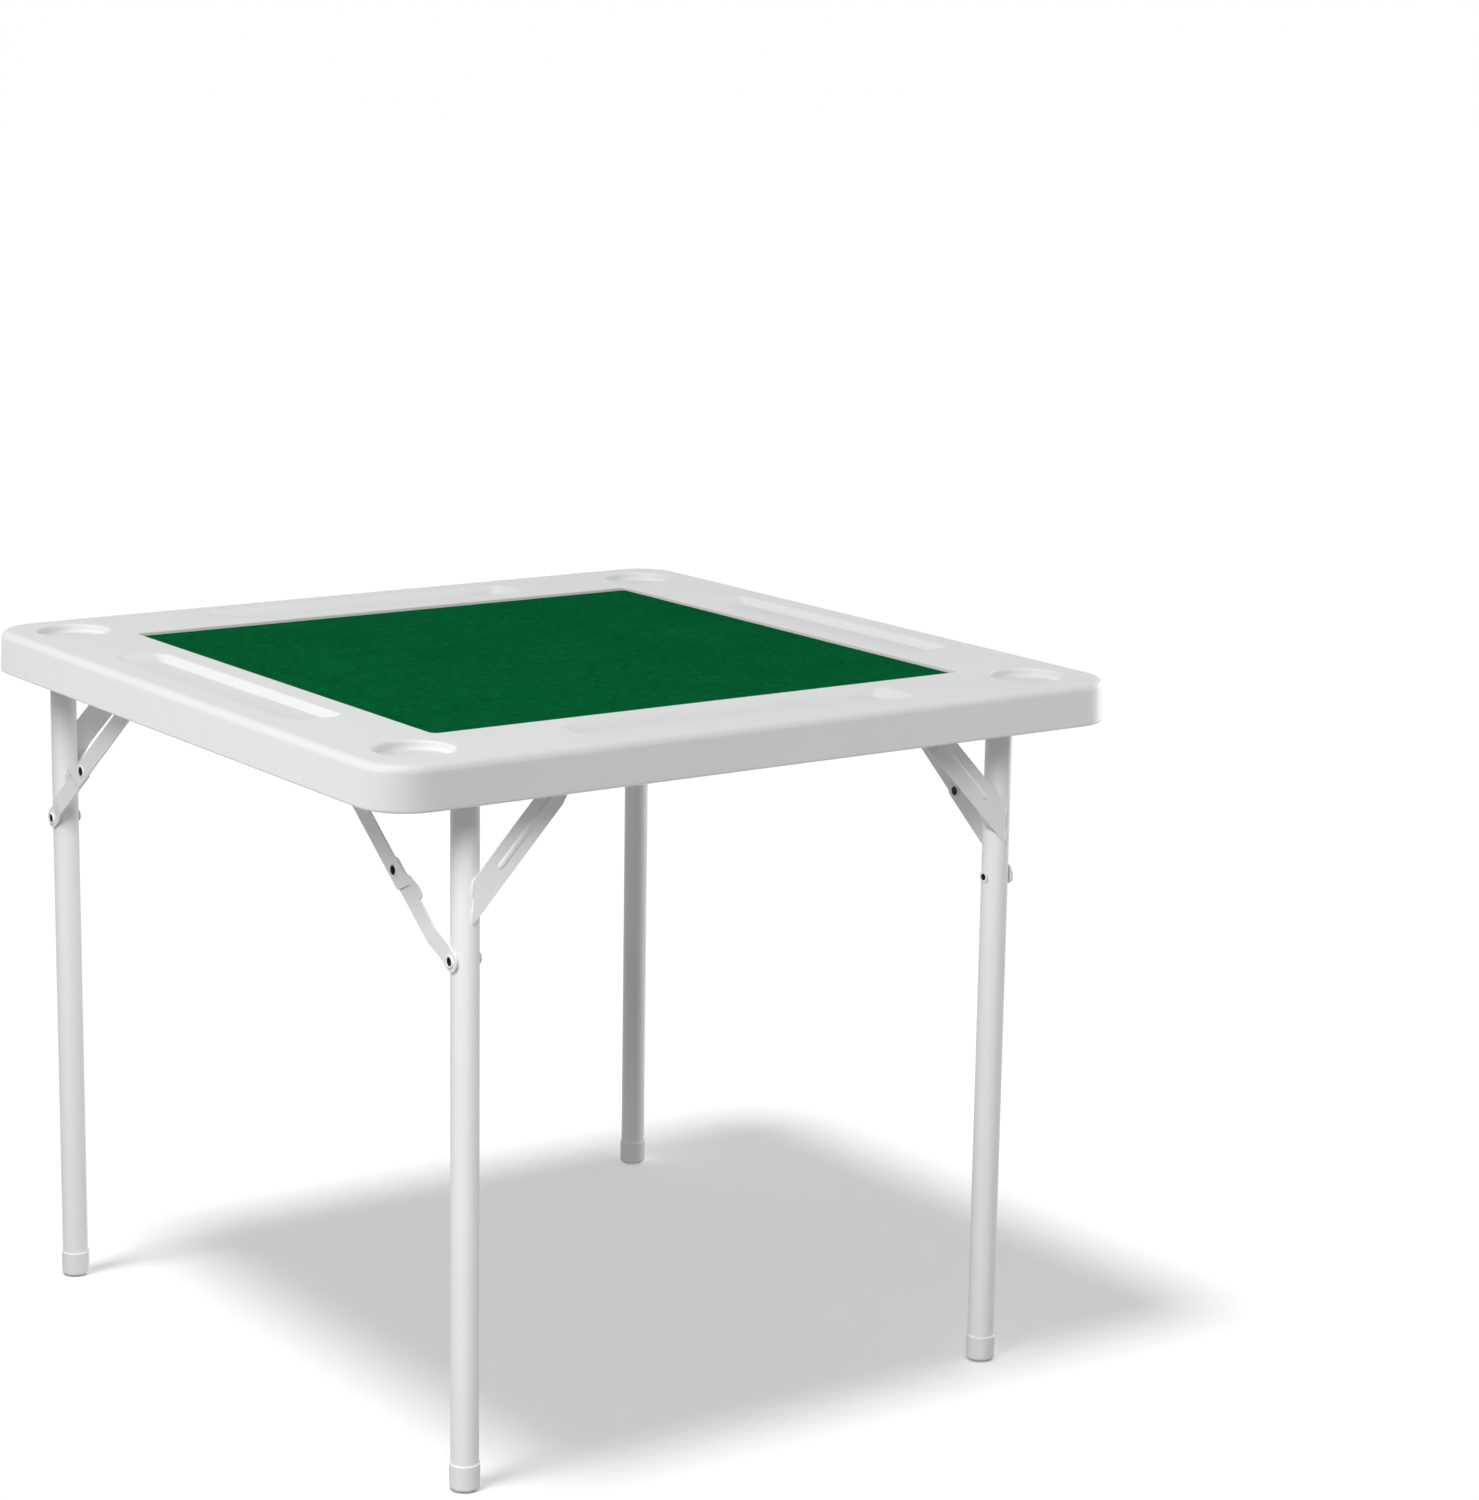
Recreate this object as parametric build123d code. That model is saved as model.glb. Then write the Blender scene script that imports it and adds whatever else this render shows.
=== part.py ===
from build123d import *
import math
import os

# A square folding card table, standing open, in millimetres.
# The origin is on the floor under the middle of the table, +Z is up.
# The front leg frame is the narrow one, towards -Y. Left is -X.

# Overall size
table_width = 880
table_depth = 880
table_height = 738

# Moulded top: outer shape
skirt_depth = 45
plan_corner_radius = 52
top_edge_round = 8.5
lip_edge_round = 2.5
skirt_draft = 1.5
lip_width = 18
panel_thickness = 13

# Moulded top: castellated inner lip
lip_rim_width = 5
notch_corner_margin = 110.45
notch_width = 24.5
notch_depth = 7
notch_count = 14
corner_notch_reach = 68

# Moulded top: thicker middle of the panel, underneath
plateau_side_margin = 140
plateau_end_margin = 83
plateau_drop = 5
plateau_slope = 4
plateau_corner_radius = 12

# Felt and its recess
felt_margin = 123
felt_thickness = 1.2
felt_corner_radius = 7
felt_clearance = 0.3
felt_recess_depth = 5
felt_rim_round = 1.5

# Cup recesses
cup_radius = 38.5
cup_depth = 9
cup_inset = 72
cup_rim_round = 2.2
cup_floor_round = 3.5

# Chip trays
tray_end_margin = 242
tray_width = 58
tray_depth = 8
tray_inset = 66
tray_corner_radius = 14
tray_side_slope = 7
tray_end_slope = 15
tray_rim_round = 1.8

# Tack-off pits, where the underside is pressed up towards the top skin
grid_rows = 18
grid_columns = 18
grid_side_margin = 7.6
grid_end_margin = 59
grid_pit_length = 22
grid_pit_width = 8.5
grid_pit_depth = 4
edge_row_inset = 105
edge_slot_length = 23.5
edge_slot_width = 10
edge_slot_shares = (-0.633, -0.422, -0.211, 0, 0.211, 0.422, 0.633)
edge_pit_shares = (-0.883, -0.76, 0.76, 0.883)
edge_pit_depth = 4
outer_row_inset = 32
outer_row_steps = 15
outer_slot_length = 21.5
outer_slot_width = 8
outer_pit_length = 16
outer_pit_width = 10
outer_pit_depth = 2.6
round_row_inset = 49
round_row_end_margin = 120.5
round_row_gaps = 18
round_pit_radius = 4.2
side_column_inset = 57
side_column_steps = 14
side_column_half_count = 5
side_pit_depth = 2.6
bay_column_inset = 104
bay_pit_shares = (0.434, 0.518, 0.6, 0.682)
bay_slot_shares = (0, 0.142, 0.284)
corner_pit_inset = 108
corner_pit_depth = 3.6

# Steel rails under the top
rail_width = 17
rail_height = 28
rail_wall = 1.5
rail_corner_radius = 2
rail_end_inset = 42
rail_inset = 38

# Rail tabs and their screws
tab_length = 16
tab_reach = 13
tab_thickness = 1.5
tab_end_margin = 68
tab_bracket_gap = 24.5
screw_radius = 2
screw_reach = 3.5
screw_head_radius = 3.8
screw_head_height = 2.2
screw_head_round = 1
screw_recess_radius = 1.3
screw_recess_depth = 1.2

# Leg frames
front_leg_setback = 56
front_hinge_inset = 58
rear_hinge_inset = 62
front_hinge_drop = 29
rear_hinge_drop = 32
leg_radius = 14
leg_wall = 1.2
leg_top_margin = 1
cross_tube_radius = 9
cross_tube_wall = 1.2
cross_tube_end_round = 3
cross_tube_end_gap = 0.5
journal_radius = 6
journal_length = 7
journal_clearance = 0.1

# Foot caps
cap_radius = 15.25
cap_height = 27
cap_floor = 3
cap_floor_round = 4
cap_lip_round = 0.5
cap_clearance = 0.05

# Gussets between each leg and its cross tube
gusset_leg_reach = 119
gusset_tube_reach = 112
gusset_width = 29
gusset_thickness = 1.5
gusset_foot_length = 20
gusset_joggle_length = 15
gusset_flange_height = 12
gusset_flange_length = 34
gusset_bead_radius = 5
gusset_bead_height = 1.4
gusset_bead_start = 34
gusset_bead_end_margin = 44

# Folding stays: where they turn, from the hinge line of their leg frame
stay_leg_drop = 177
stay_top_reach = 222
stay_top_drop = 9
stay_folded_rise_angle = 1.0

# Folding stays: the strips
strip_width = 21
strip_thickness = 2
strip_gap = 0.3
stay_leg_gap = 0.4
lower_joggle = 4.9
lower_joggle_start = 11
lower_joggle_end = 34
lower_overhang = 13
upper_pivot_joggle = 1.2
upper_pivot_joggle_start = 13
upper_pivot_joggle_end = 24
carrier_gap = 0.2

# Folding stays: the stop finger beyond the knee, beside the lower link
tail_length = 48
finger_width = 7.4
finger_gap = 0.3
finger_root = 12
finger_shoulder = 25
finger_inner_start = 28
finger_joggle_start = 29
finger_joggle_end = 36
finger_tip_round = 5
tail_end_start = 17

# Rivets
rivet_radius = 4.4
rivet_bore_radius = 3.5
rivet_floor = 0.8
rivet_head_radius = 6.5
rivet_head_height = 1.1
rivet_head_round = 0.7
rivet_clearance = 0.1
knee_head_gap = 0.3

# Stay brackets for the front stays
bracket_width = 39
bracket_thickness = 2
bracket_ear_radius = 10
bracket_ear_shoulder = 8

# Leg clip for one folded rear leg
clip_tab_gap = 9.5
clip_length = 23
clip_wall = 3.5
clip_jaw_reach = 3
clip_clearance = 0.3
clip_flange_reach = 8
clip_flange_thickness = 2.5
clip_edge_round = 1.2

# One overrun serves all cuts
overrun = 2

# Heights and places worked out from the sizes above
skirt_bottom = table_height - skirt_depth
underside = table_height - panel_thickness
plateau_bottom = underside - plateau_drop
recess_floor = table_height - felt_recess_depth
rail_bottom = underside - rail_height
rail_inner_face = table_width / 2 - rail_inset
rail_half_length = table_depth / 2 - rail_end_inset
rail_axis = rail_inner_face + rail_width / 2
cavity_half_width = table_width / 2 - lip_width
cavity_half_depth = table_depth / 2 - lip_width
tab_face = underside - tab_thickness
screw_line = rail_inner_face - tab_reach / 2
plateau_width = table_width - 2 * plateau_side_margin
plateau_length = table_depth - 2 * plateau_end_margin
felt_width = table_width - 2 * felt_margin
felt_length = table_depth - 2 * felt_margin

# One stay's geometry in its own plane: reach inboard of the hinge line and height above it.
# Open, both links lie on one line. Folded, the upper link lies nearly along the panel.
stay_fall = stay_leg_drop - stay_top_drop
stay_span = math.hypot(stay_top_reach, stay_fall)
stay_slope = math.degrees(math.atan2(stay_fall, stay_top_reach))
folded_base = math.hypot(stay_top_reach - stay_leg_drop, stay_top_drop)
folded_base_angle = math.degrees(math.atan2(stay_top_drop, stay_top_reach - stay_leg_drop))
folded_angle = math.radians(folded_base_angle - stay_folded_rise_angle)
folded_reach = folded_base * math.cos(folded_angle)
upper_length = (stay_span**2 - folded_base**2) / (2 * (stay_span - folded_reach))
lower_length = stay_span - upper_length

# Levels of the stay's strips, counted outwards from the leg's outer side
lower_foot_level = stay_leg_gap
lower_level = lower_foot_level + lower_joggle
upper_level = lower_level + strip_thickness + strip_gap
upper_pivot_level = upper_level + upper_pivot_joggle
carrier_level = upper_pivot_level + strip_thickness + carrier_gap


class LegFrame:
    """Where one leg frame stands: its legs' spacing and its hinge line."""

    def __init__(self, half_spacing, hinge_reach, hinge_height):
        self.half_spacing = half_spacing
        self.hinge_reach = hinge_reach
        self.hinge_height = hinge_height
        self.leg_side = half_spacing + leg_radius


# The rear stays turn on the rails, so the rear legs stand inboard of them by the stays' levels.
# The front legs fold between the rear ones.
rear_leg_half_spacing = rail_inner_face - carrier_level - leg_radius
front_leg_half_spacing = rear_leg_half_spacing - front_leg_setback
front_frame = LegFrame(
    front_leg_half_spacing, table_depth / 2 - front_hinge_inset, table_height - front_hinge_drop
)
rear_frame = LegFrame(
    rear_leg_half_spacing, table_depth / 2 - rear_hinge_inset, table_height - rear_hinge_drop
)

# Places along the rails
bracket_station = front_frame.hinge_reach - stay_top_reach
inner_tab_station = bracket_station - bracket_width / 2 - tab_bracket_gap
outer_tab_station = rail_half_length - tab_end_margin
tab_stations = (inner_tab_station, outer_tab_station)
clip_station = inner_tab_station - tab_length / 2 - clip_tab_gap - clip_length / 2


def carried(shape, side, end):
    """Carry a shape built for the front right to its own side and end of the table."""
    if side < 0:
        shape = mirror(shape, about=Plane.YZ)
    if end > 0:
        shape = mirror(shape, about=Plane.XZ)
    return shape


def x_bar(radius, low, high, y=0, z=0):
    """A round bar along X between two places."""
    turned = Rot(0, 90, 0) * Cylinder(radius, high - low)
    return Pos((low + high) / 2, y, z) * turned


def upright_block(width, depth, radius, low, high):
    """An upright block with rounded plan corners between two heights."""
    outline = Pos(0, 0, low) * RectangleRounded(width, depth, radius)
    return extrude(outline, amount=high - low)


def corner_places(reach_x, reach_y):
    """The four corners of a rectangle about the middle of the table."""
    return [(side_x * reach_x, side_y * reach_y) for side_x in (-1, 1) for side_y in (-1, 1)]


def top_blank():
    """The moulded top before its recesses: a drafted skirt round a hollow underside."""
    draft_angle = math.degrees(math.atan2(skirt_draft, skirt_depth))
    outline = Pos(0, 0, skirt_bottom) * RectangleRounded(table_width, table_depth, plan_corner_radius)
    blank = extrude(outline, amount=skirt_depth, taper=draft_angle)
    blank = fillet(blank.edges().group_by(Axis.Z)[-1], top_edge_round)
    blank = fillet(blank.edges().group_by(Axis.Z)[0], lip_edge_round)
    cavity = upright_block(
        2 * cavity_half_width,
        2 * cavity_half_depth,
        plan_corner_radius - lip_width,
        skirt_bottom - overrun,
        underside,
    )
    return blank - cavity


def plateau():
    """The thicker middle of the panel, with sloping sides."""
    slope_angle = math.degrees(math.atan2(plateau_slope, plateau_drop))
    outline = Pos(0, 0, plateau_bottom) * RectangleRounded(plateau_width, plateau_length, plateau_corner_radius)
    return extrude(outline, amount=plateau_drop, taper=-slope_angle)


def lip_notches():
    """The castellations of the inner lip and the long notch round each corner."""
    reach = lip_width - lip_rim_width + overrun
    notch = Box(reach, notch_width, notch_depth + overrun)
    height = skirt_bottom + (notch_depth - overrun) / 2
    cutters = []
    across_x = table_width / 2 - lip_rim_width - reach / 2
    across_y = table_depth / 2 - lip_rim_width - reach / 2
    for index in range(notch_count):
        share = index / (notch_count - 1) - 1 / 2
        along_x = share * (table_width - 2 * notch_corner_margin)
        along_y = share * (table_depth - 2 * notch_corner_margin)
        for side in (-1, 1):
            cutters.append(Pos(side * across_x, along_y, height) * notch)
            cutters.append(Pos(along_x, side * across_y, height) * Rot(0, 0, 90) * notch)
    outer = RectangleRounded(
        table_width - 2 * lip_rim_width,
        table_depth - 2 * lip_rim_width,
        plan_corner_radius - lip_rim_width,
    )
    inner = RectangleRounded(
        2 * cavity_half_width - 2 * overrun,
        2 * cavity_half_depth - 2 * overrun,
        plan_corner_radius - lip_width - overrun,
    )
    square = Rectangle(corner_notch_reach, corner_notch_reach)
    reach_x = (table_width - corner_notch_reach) / 2
    reach_y = (table_depth - corner_notch_reach) / 2
    for x, y in corner_places(reach_x, reach_y):
        band = (outer - inner) & (Pos(x, y) * square)
        cutters.append(extrude(Pos(0, 0, skirt_bottom - overrun) * band, amount=notch_depth + overrun))
    return cutters


def felt_recess():
    """The square recess that the felt lies in."""
    width = felt_width + 2 * felt_clearance
    length = felt_length + 2 * felt_clearance
    return upright_block(width, length, felt_corner_radius, recess_floor, table_height + overrun)


def cup_recess():
    """One round cup recess, at the origin of the top face."""
    cup = Pos(0, 0, (overrun - cup_depth) / 2) * Cylinder(cup_radius, cup_depth + overrun)
    return fillet(cup.edges().group_by(Axis.Z)[0], cup_floor_round)


def tray_recess(length):
    """One chip tray, at the origin of the top face, long way along X."""
    mouth = RectangleRounded(length, tray_width, tray_corner_radius)
    floor = Pos(0, 0, -tray_depth) * RectangleRounded(
        length - 2 * tray_end_slope,
        tray_width - 2 * tray_side_slope,
        tray_corner_radius - tray_side_slope,
    )
    return loft([mouth, floor], ruled=True)


def screw_places():
    """Where the rail screws stand: side of the table and place along Y."""
    return [(side, end * station) for side in (-1, 1) for end in (-1, 1) for station in tab_stations]


def slot_pit(length, width, depth, x, y, level, turn=0):
    """One slot-shaped pit pressed up from a level of the underside."""
    outline = Pos(x, y, level) * Rot(0, 0, turn) * SlotOverall(length, width)
    return extrude(outline, amount=depth)


def grid_pits():
    """The staggered pits all over the thicker middle of the panel."""
    pits = []
    reach_x = plateau_width / 2 - grid_side_margin
    reach_y = plateau_length / 2 - grid_end_margin
    for row in range(grid_rows):
        y = (2 * row / (grid_rows - 1) - 1) * reach_y
        short_row = row % 2
        for column in range(grid_columns - short_row):
            x = ((2 * column + short_row) / (grid_columns - 1) - 1) * reach_x
            pits.append(slot_pit(grid_pit_length, grid_pit_width, grid_pit_depth, x, y, plateau_bottom, 90))
    return pits


def edge_pits():
    """The row of slots and pits between the grid and each end of the thicker middle."""
    pits = []
    for side in (-1, 1):
        y = side * (table_depth / 2 - edge_row_inset)
        for share in edge_slot_shares:
            x = share * plateau_width / 2
            pits.append(slot_pit(edge_slot_length, edge_slot_width, edge_pit_depth, x, y, plateau_bottom))
        for share in edge_pit_shares:
            x = share * plateau_width / 2
            pits.append(slot_pit(edge_slot_length, edge_slot_width, edge_pit_depth, x, y, plateau_bottom, 90))
    return pits


def outer_pits():
    """The alternating slots and pits along the front and rear skirts, and the round ones inboard."""
    pits = []
    pitch = table_width / outer_row_steps
    half_count = outer_row_steps // 3
    round_reach = table_width / 2 - round_row_end_margin
    for side in (-1, 1):
        y = side * (table_depth / 2 - outer_row_inset)
        for step in range(-half_count, half_count + 1):
            x = step * pitch
            pits.append(slot_pit(outer_pit_length, outer_pit_width, outer_pit_depth, x, y, underside, 90))
        for step in range(-half_count - 1, half_count + 1):
            x = (step + 1 / 2) * pitch
            pits.append(slot_pit(outer_slot_length, outer_slot_width, outer_pit_depth, x, y, underside))
        round_y = side * (table_depth / 2 - round_row_inset)
        for step in range(round_row_gaps + 1):
            x = (2 * step / round_row_gaps - 1) * round_reach
            round_pit = Cylinder(round_pit_radius, outer_pit_depth)
            pits.append(Pos(x, round_y, underside + outer_pit_depth / 2) * round_pit)
    return pits


def side_pits():
    """The columns of pits beside the rails and beside the thicker middle, and one near each corner."""
    pits = []
    pitch = table_depth / side_column_steps
    for side in (-1, 1):
        x = side * (table_width / 2 - side_column_inset)
        for step in range(-side_column_half_count, side_column_half_count + 1):
            y = step * pitch
            pits.append(slot_pit(edge_slot_length, edge_slot_width, side_pit_depth, x, y, underside, 90))
        x = side * (table_width / 2 - bay_column_inset)
        for end in (-1, 1):
            for share in bay_pit_shares:
                y = end * share * table_depth / 2
                pits.append(slot_pit(outer_pit_length, outer_slot_width, side_pit_depth, x, y, underside))
            for share in bay_slot_shares[1:]:
                y = end * share * table_depth / 2
                pits.append(slot_pit(edge_slot_length, outer_slot_width, side_pit_depth, x, y, underside, 90))
        pits.append(slot_pit(edge_slot_length, outer_slot_width, side_pit_depth, x, 0, underside, 90))
    corner_x = table_width / 2 - corner_pit_inset
    corner_y = table_depth / 2 - corner_pit_inset
    for x, y in corner_places(corner_x, corner_y):
        turn = math.degrees(math.atan2(-x, y))
        pits.append(slot_pit(edge_slot_length, edge_slot_width, corner_pit_depth, x, y, underside, turn))
    return pits


def tack_off_pits():
    """All the pits of the underside."""
    return grid_pits() + edge_pits() + outer_pits() + side_pits()


def moulded_top():
    """The whole top with its recesses, rims rounded, and pilot holes for the screws."""
    body = top_blank() + plateau()
    cutters = lip_notches()
    for x, y in corner_places(table_width / 2 - cup_inset, table_depth / 2 - cup_inset):
        cutters.append(Pos(x, y, table_height) * cup_recess())
    across_tray = tray_recess(table_width - 2 * tray_end_margin)
    along_tray = tray_recess(table_depth - 2 * tray_end_margin)
    for side in (-1, 1):
        tray_x = side * (table_width / 2 - tray_inset)
        tray_y = side * (table_depth / 2 - tray_inset)
        cutters.append(Pos(0, tray_y, table_height) * across_tray)
        cutters.append(Pos(tray_x, 0, table_height) * Rot(0, 0, 90) * along_tray)
    cutters.append(felt_recess())
    for side, along in screw_places():
        pilot = Cylinder(screw_radius, screw_reach)
        cutters.append(Pos(side * screw_line, along, underside + screw_reach / 2) * pilot)
    body = body - cutters
    for rim in body.faces().sort_by(Axis.Z)[-1].inner_wires():
        size = rim.bounding_box().size
        if max(size.X, size.Y) < 2 * cup_radius + tray_width:
            rim_round = cup_rim_round
        elif min(size.X, size.Y) < 2 * cup_radius:
            rim_round = tray_rim_round
        else:
            rim_round = felt_rim_round
        body = fillet(rims_on(body, rim), rim_round)
    return body - tack_off_pits()


def rims_on(body, rim):
    """The edges of the body that lie on a rim."""
    box = rim.bounding_box()
    middle = box.center()
    found = []
    for edge in body.edges().filter_by_position(Axis.Z, table_height, table_height):
        near_x = abs(edge.center().X - middle.X) <= box.size.X / 2
        near_y = abs(edge.center().Y - middle.Y) <= box.size.Y / 2
        if near_x and near_y:
            found.append(edge)
    return found


def felt():
    """The playing cloth in its recess."""
    top = recess_floor + felt_thickness
    return upright_block(felt_width, felt_length, felt_corner_radius, recess_floor, top)


def rail():
    """The right-hand rail: a box tube with screw tabs and its bearing and rivet holes."""
    section = RectangleRounded(rail_width, rail_height, rail_corner_radius)
    section = section - Rectangle(rail_width - 2 * rail_wall, rail_height - 2 * rail_wall)
    tube = extrude(Plane.XZ * section, amount=rail_half_length, both=True)
    tube = Pos(rail_axis, 0, rail_bottom + rail_height / 2) * tube
    for end in (-1, 1):
        for station in tab_stations:
            reach = tab_reach + rail_corner_radius
            place = Pos(rail_inner_face - tab_reach + reach / 2, end * station, underside - tab_thickness / 2)
            tab = Box(reach, tab_length, tab_thickness)
            hole = Pos(screw_line - rail_inner_face + tab_reach - reach / 2, 0, 0)
            tube = tube + place * (tab - hole * Cylinder(screw_radius, tab_thickness))
    for frame, end in ((front_frame, -1), (rear_frame, 1)):
        bore = x_bar(
            journal_radius + journal_clearance,
            rail_inner_face - overrun,
            rail_inner_face + rail_width / 2,
            end * frame.hinge_reach,
            frame.hinge_height,
        )
        tube = tube - bore
    rivet_y = rear_frame.hinge_reach - stay_top_reach
    rivet_z = rear_frame.hinge_height - stay_top_drop
    outside = rail_inner_face + rail_width + overrun
    tube = tube - x_bar(rivet_radius, rail_inner_face - overrun, outside, rivet_y, rivet_z)
    return tube


def rail_screws():
    """The pan-head screws that hold the rails to the top."""
    screws = []
    for side, along in screw_places():
        head = Pos(0, 0, -screw_head_height / 2) * Cylinder(screw_head_radius, screw_head_height)
        head = fillet(head.edges().group_by(Axis.Z)[0], screw_head_round)
        shank = tab_thickness + screw_reach
        screw = head + Pos(0, 0, shank / 2) * Cylinder(screw_radius, shank)
        recess = Pos(0, 0, screw_recess_depth / 2 - screw_head_height)
        screw = screw - recess * Cylinder(screw_recess_radius, screw_recess_depth)
        screws.append(Pos(side * screw_line, along, tab_face) * screw)
    return Compound(children=screws)


def stay_bracket():
    """The right-hand bracket: a plate under the panel and a turned-down ear for the stay."""
    ear_face = front_frame.leg_side + carrier_level
    middle = -bracket_station
    pivot = front_frame.hinge_height - stay_top_drop
    reach = rail_inner_face - ear_face
    plate = Pos(ear_face + reach / 2, middle, underside - bracket_thickness / 2)
    plate = plate * Box(reach, bracket_width, bracket_thickness)
    half = bracket_width / 2
    shoulder = underside - bracket_ear_shoulder
    outline = Plane.YZ * make_face(
        Polyline(
            (middle - half, underside),
            (middle - half, shoulder),
            (middle - bracket_ear_radius, pivot),
            (middle + bracket_ear_radius, pivot),
            (middle + half, shoulder),
            (middle + half, underside),
            close=True,
        )
    )
    outline = outline + Plane.YZ * Pos(middle, pivot) * Circle(bracket_ear_radius)
    outline = outline - Plane.YZ * Pos(middle, pivot) * Circle(rivet_radius)
    ear = Pos(ear_face, 0, 0) * extrude(outline, amount=bracket_thickness)
    return plate + ear


def leg_clip():
    """The clip under the panel that one rear leg snaps into when it is folded."""
    half = leg_radius + clip_clearance
    height = rear_frame.hinge_height
    bottom = height - clip_jaw_reach
    block_height = underside - bottom
    block = Pos(0, 0, bottom + block_height / 2) * Box(2 * (half + clip_wall), clip_length, block_height)
    block = fillet(block.edges().group_by(Axis.Z)[0], clip_edge_round)
    flange_width = half + clip_wall + clip_flange_reach
    flange = Pos(flange_width / 2, 0, underside - clip_flange_thickness / 2)
    block = block + flange * Box(flange_width, clip_length, clip_flange_thickness)
    saddle = Rot(90, 0, 0) * Cylinder(half, clip_length + 2 * overrun)
    slot_depth = clip_jaw_reach + overrun
    slot = Pos(0, 0, -slot_depth / 2) * Box(2 * half, clip_length + 2 * overrun, slot_depth)
    clip = block - Pos(0, 0, height) * (saddle + slot)
    return Pos(-rear_frame.half_spacing, -clip_station, 0) * clip


def rivet_head(level, outwards):
    """A rivet's flanged end, flat against a face at a level along X."""
    head = x_bar(rivet_head_radius, 0, rivet_head_height)
    head = fillet(head.edges().group_by(Axis.X)[-1], rivet_head_round)
    if not outwards:
        head = mirror(head, about=Plane.YZ)
    return Pos(level, 0, 0) * head


def tubular_rivet(head_level, tail_level, bored_outwards, with_tail=True, with_head=True):
    """A rivet along X between two faces, hollow from one end, with a flange at each."""
    rivet = x_bar(rivet_radius, tail_level, head_level)
    low = tail_level
    high = head_level
    if with_head:
        rivet = rivet + rivet_head(head_level, True)
        high = high + rivet_head_height
    if with_tail:
        rivet = rivet + rivet_head(tail_level, False)
        low = low - rivet_head_height
    if bored_outwards:
        bore = x_bar(rivet_bore_radius, low + rivet_floor, high + overrun)
    else:
        bore = x_bar(rivet_bore_radius, low - overrun, high - rivet_floor)
    return rivet - bore


def stay_point(frame, reach, rise):
    """A place in a stay's plane, from its reach inboard of the hinge line and its rise."""
    return (reach - frame.hinge_reach, frame.hinge_height + rise)


def top_rivet(frame, carrier_width):
    """The rivet that a stay turns on at the top, through the rail or the bracket's ear."""
    y, z = stay_point(frame, stay_top_reach, -stay_top_drop)
    outer = frame.leg_side + carrier_level + carrier_width
    inner = frame.leg_side + upper_pivot_level
    return Pos(0, y, z) * tubular_rivet(outer, inner, False)


def cross_tube(frame):
    """The cross tube of a leg frame, with necked journals that turn in the rails."""
    half = rail_inner_face - cross_tube_end_gap
    end = half + journal_length
    tube = x_bar(cross_tube_radius, -half, half)
    tube = fillet(tube.edges(), cross_tube_end_round)
    tube = tube + x_bar(journal_radius, -end, end)
    tube = tube - x_bar(journal_radius - cross_tube_wall, -end - overrun, end + overrun)
    inside = half - cross_tube_end_round - cross_tube_wall
    tube = tube - x_bar(cross_tube_radius - cross_tube_wall, -inside, inside)
    return Pos(0, -frame.hinge_reach, frame.hinge_height) * tube


def leg(frame):
    """The right-hand leg of a frame: a tube saddled over the cross tube."""
    top = frame.hinge_height + leg_top_margin
    length = top - cap_floor
    tube = Cylinder(leg_radius, length) - Cylinder(leg_radius - leg_wall, length)
    tube = Pos(frame.half_spacing, -frame.hinge_reach, cap_floor + length / 2) * tube
    low = frame.half_spacing - leg_radius - overrun
    high = frame.leg_side + overrun
    tube = tube - x_bar(cross_tube_radius, low, high, -frame.hinge_reach, frame.hinge_height)
    pivot = frame.hinge_height - stay_leg_drop
    return tube - x_bar(rivet_radius, low, high, -frame.hinge_reach, pivot)


def leg_rivet(frame):
    """The tail half of the rivet at a stay's foot, through the leg."""
    outer = frame.leg_side
    inner = frame.half_spacing - leg_radius
    place = Pos(0, -frame.hinge_reach, frame.hinge_height - stay_leg_drop)
    return place * tubular_rivet(outer, inner, False, with_head=False)


def foot_cap(frame):
    """The plastic cap on a leg's foot."""
    cap = Pos(0, 0, cap_height / 2) * Cylinder(cap_radius, cap_height)
    cap = fillet(cap.edges().group_by(Axis.Z)[0], cap_floor_round)
    cap = fillet(cap.edges().group_by(Axis.Z)[-1], cap_lip_round)
    socket = Cylinder(leg_radius + cap_clearance, cap_height)
    cap = cap - Pos(0, 0, cap_floor + cap_height / 2) * socket
    return Pos(frame.half_spacing, -frame.hinge_reach, 0) * cap


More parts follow.
